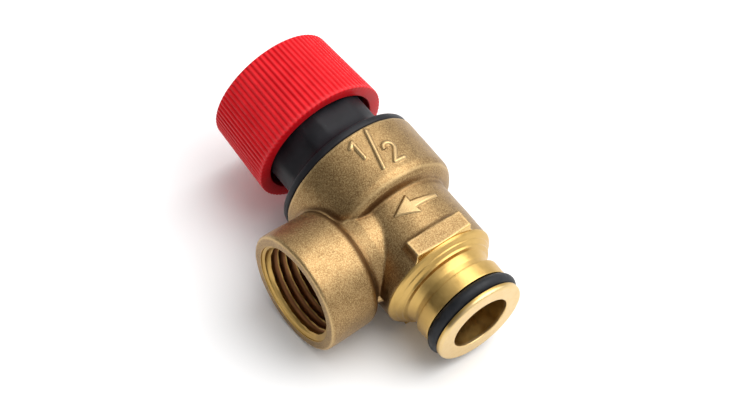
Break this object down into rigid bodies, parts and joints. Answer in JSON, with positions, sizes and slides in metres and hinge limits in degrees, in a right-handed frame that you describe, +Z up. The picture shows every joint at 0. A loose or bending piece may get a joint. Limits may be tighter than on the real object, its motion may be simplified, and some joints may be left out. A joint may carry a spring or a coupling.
{
  "type": "pressure relief valve",
  "caption": "Brass pressure relief valve with a push-in sealed inlet spigot, a threaded side outlet, a black plastic bonnet and a ribbed red quarter-turn test knob.",
  "frame": {"origin": "centre of the open face of the inlet spigot's nose; the valve lies on a table as stored, so the table is the plane through its lowest points, about 11.5 mm below the origin", "axes": "+Z up from the table; +X level, from the knob towards the inlet; -Y level, the side that the outlet faces. The main axis slopes down towards the inlet, and the outlet dips slightly to rest its rim on the table"},
  "size_m": [0.07, 0.0422, 0.0339],
  "materials": {
    "cast_brass": "as cast, fine sand texture, machined bright at the spigot and the outlet's rim",
    "cut_brass": "turned, satin",
    "black_plastic": "moulded, satin",
    "red_plastic": "moulded, fine ribs, satin",
    "black_rubber": "moulded, slightly greased",
    "white_plastic": "turned acetal, satin",
    "steel": "zinc plated, satin"
  },
  "bodies": {
    "housing": {"valve_body": "cast_brass", "inlet_o_ring": "black_rubber", "diaphragm": "black_rubber", "slip_ring": "white_plastic", "bonnet": "black_plastic", "adjusting_ring": "cut_brass", "spring_washer": "steel", "spring": "steel"},
    "stem_assembly": {"stem": "cut_brass", "disc_holder": "cut_brass", "seat_disc": "black_rubber", "disc_washer": "steel", "disc_screw": "steel", "diaphragm_plate": "cut_brass", "stem_nut": "steel", "knob_washer": "steel", "knob_screw": "steel"},
    "knob_assembly": {"knob": "red_plastic", "knob_cap": "red_plastic"}
  },
  "joints": [
    {"name": "stem_lift", "type": "slide", "parent": "housing", "child": "stem_assembly", "axis": [-0.9917, 0, 0.1283], "range_m": [0, 0.0013], "stiffness_N_per_m": 6000, "springref_m": -0.004, "deforming": ["spring", "diaphragm"]},
    {"name": "knob_turn", "type": "hinge", "parent": "stem_assembly", "child": "knob_assembly", "pos_m": [0, 0, 0], "axis": [-0.9917, 0, 0.1283], "range_deg": [0, 90]}
  ],
  "couplings": [
    {"joint": "knob_turn", "follows": "stem_lift", "rad_per_m": 1208.3}
  ]
}
